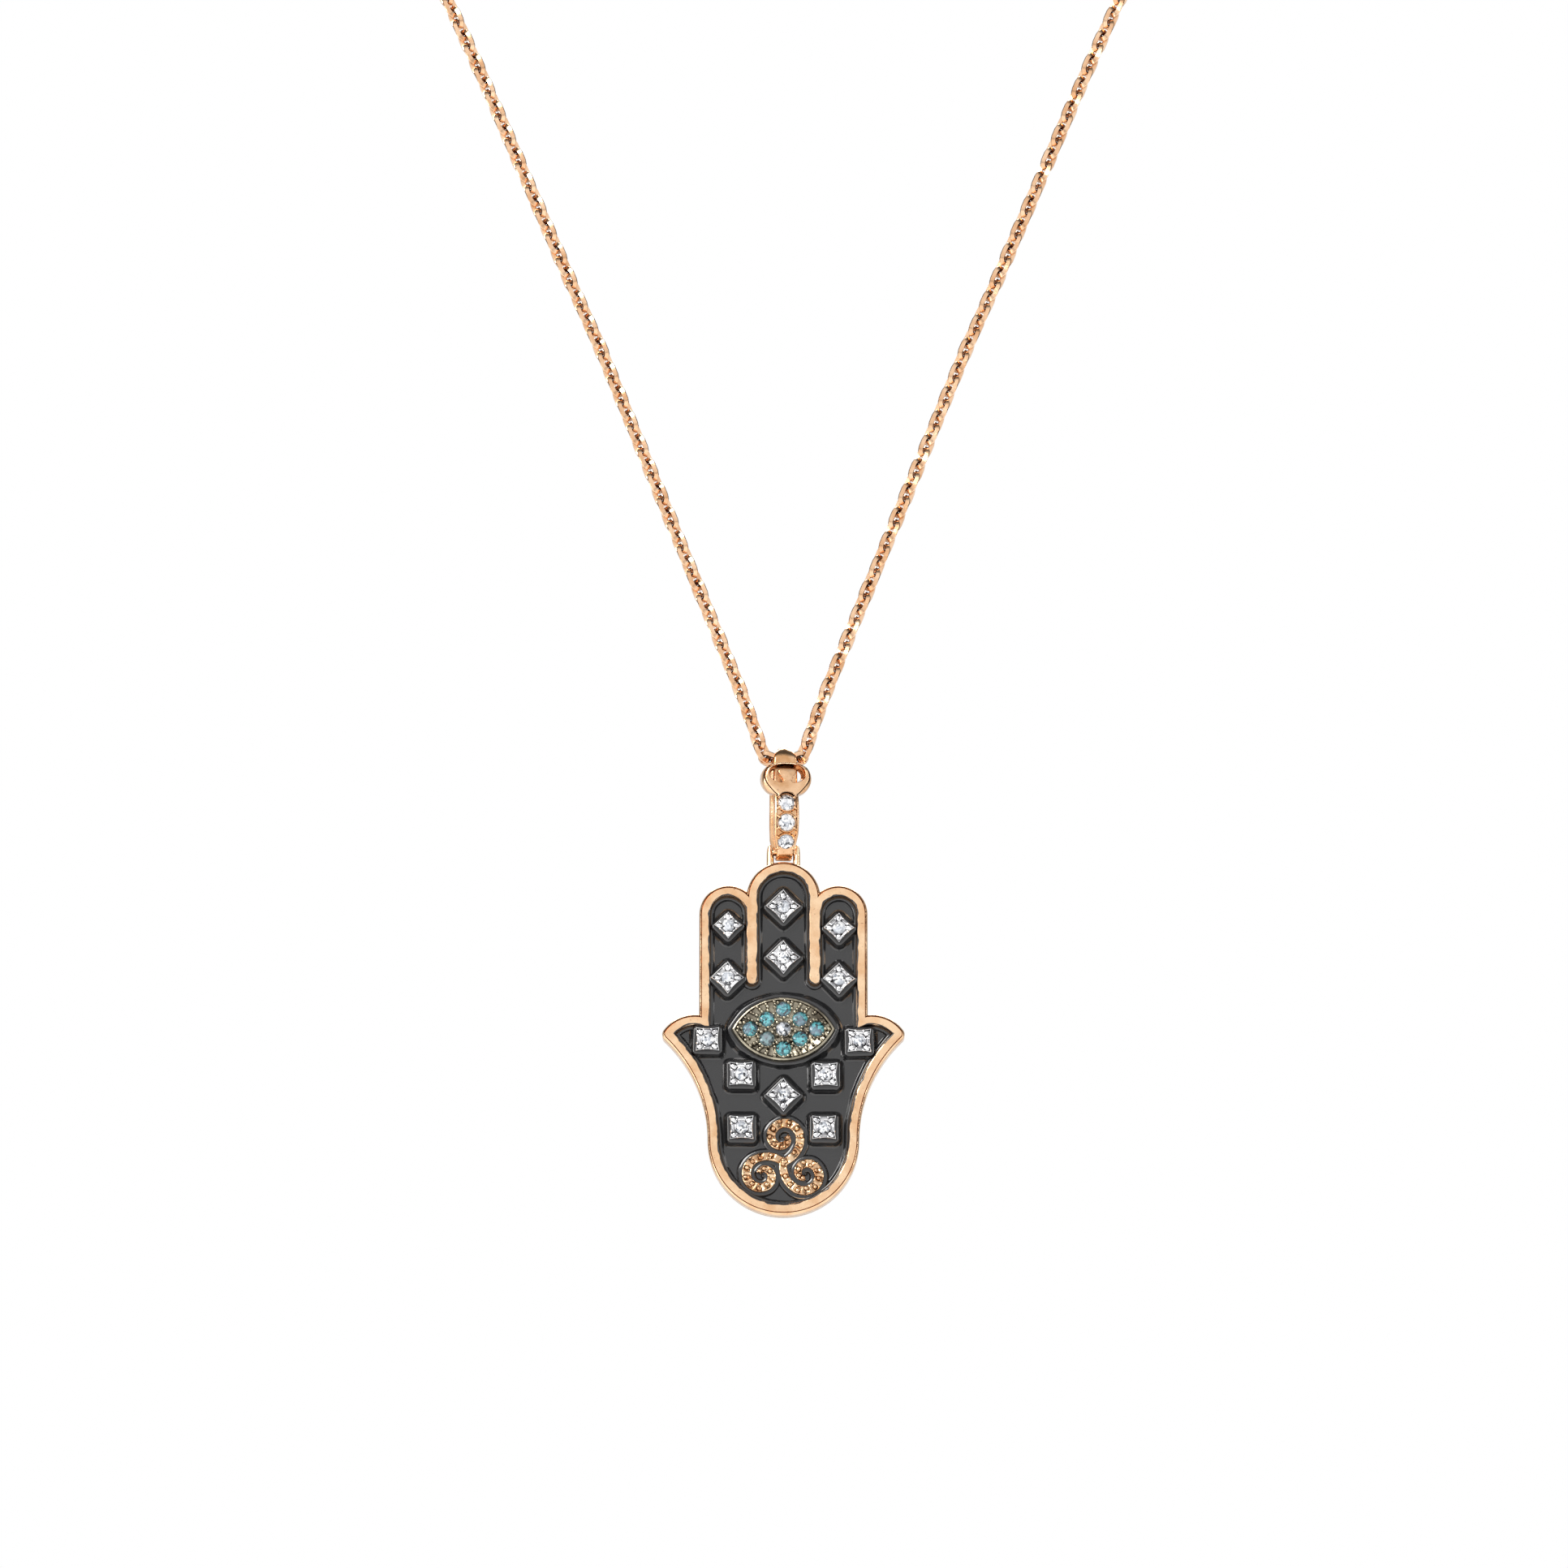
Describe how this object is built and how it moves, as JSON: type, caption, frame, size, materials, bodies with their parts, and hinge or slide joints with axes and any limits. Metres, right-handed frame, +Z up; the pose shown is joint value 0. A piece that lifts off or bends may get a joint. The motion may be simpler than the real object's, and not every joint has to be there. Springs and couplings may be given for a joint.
{
  "type": "hamsa pendant necklace",
  "caption": "Rose gold hand-shaped pendant with dark enamel, square stone settings, an almond eye and a triple scroll, hinged under a stone-set bail on a fine chain.",
  "frame": {"origin": "centre of the clasp, where the chain rests on the nape", "axes": "+Z up, the long way of the worn chain; the pendant hangs in front and faces -Y; +X is the picture's right"},
  "size_m": [0.1098, 0.1074, 0.1398],
  "materials": {
    "rose_gold": "polished rose gold, softly worn edges",
    "chain_gold": "polished rose gold",
    "enamel": "glossy black enamel",
    "eye_metal": "darkened champagne gold with bright beads",
    "scroll_gold": "bright yellow gold, beaded",
    "silver": "bright white gold",
    "clear_stone": "clear brilliant-cut stone",
    "teal_stone": "teal brilliant-cut stone"
  },
  "bodies": {
    "necklace": {"chain": "chain_gold", "clasp": "chain_gold"},
    "bail": {"bail": "rose_gold", "bail_stone_top": "clear_stone", "bail_stone_mid": "clear_stone", "bail_stone_low": "clear_stone"},
    "hamsa": {"frame": "rose_gold", "enamel": "enamel", "eye_plate": "eye_metal", "scroll": "scroll_gold", "setting_finger_left_top": "silver", "setting_finger_left_low": "silver", "setting_finger_mid_top": "silver", "setting_finger_mid_low": "silver", "setting_finger_right_top": "silver", "setting_finger_right_low": "silver", "setting_thumb_left": "silver", "setting_thumb_right": "silver", "setting_palm_left": "silver", "setting_palm_right": "silver", "setting_palm_mid": "silver", "setting_low_left": "silver", "setting_low_right": "silver", "stone_finger_left_top": "clear_stone", "stone_finger_left_low": "clear_stone", "stone_finger_mid_top": "clear_stone", "stone_finger_mid_low": "clear_stone", "stone_finger_right_top": "clear_stone", "stone_finger_right_low": "clear_stone", "stone_thumb_left": "clear_stone", "stone_thumb_right": "clear_stone", "stone_palm_left": "clear_stone", "stone_palm_right": "clear_stone", "stone_palm_mid": "clear_stone", "stone_low_left": "clear_stone", "stone_low_right": "clear_stone", "eye_stone_mid": "clear_stone", "eye_stone_top": "teal_stone", "eye_stone_low": "teal_stone", "eye_stone_left": "teal_stone", "eye_stone_right": "teal_stone", "eye_stone_left_top": "teal_stone", "eye_stone_right_top": "teal_stone", "eye_stone_left_low": "teal_stone", "eye_stone_right_low": "teal_stone"}
  },
  "joints": [
    {"name": "bail_swing", "type": "hinge", "parent": "necklace", "child": "bail", "pos_m": [0, -0.104, -0.106], "axis": [1, 0, 0], "range_deg": [-45, 45]},
    {"name": "hamsa_swing", "type": "hinge", "parent": "bail", "child": "hamsa", "pos_m": [0, -0.104, -0.11253], "axis": [1, 0, 0], "range_deg": [-45, 45]}
  ]
}
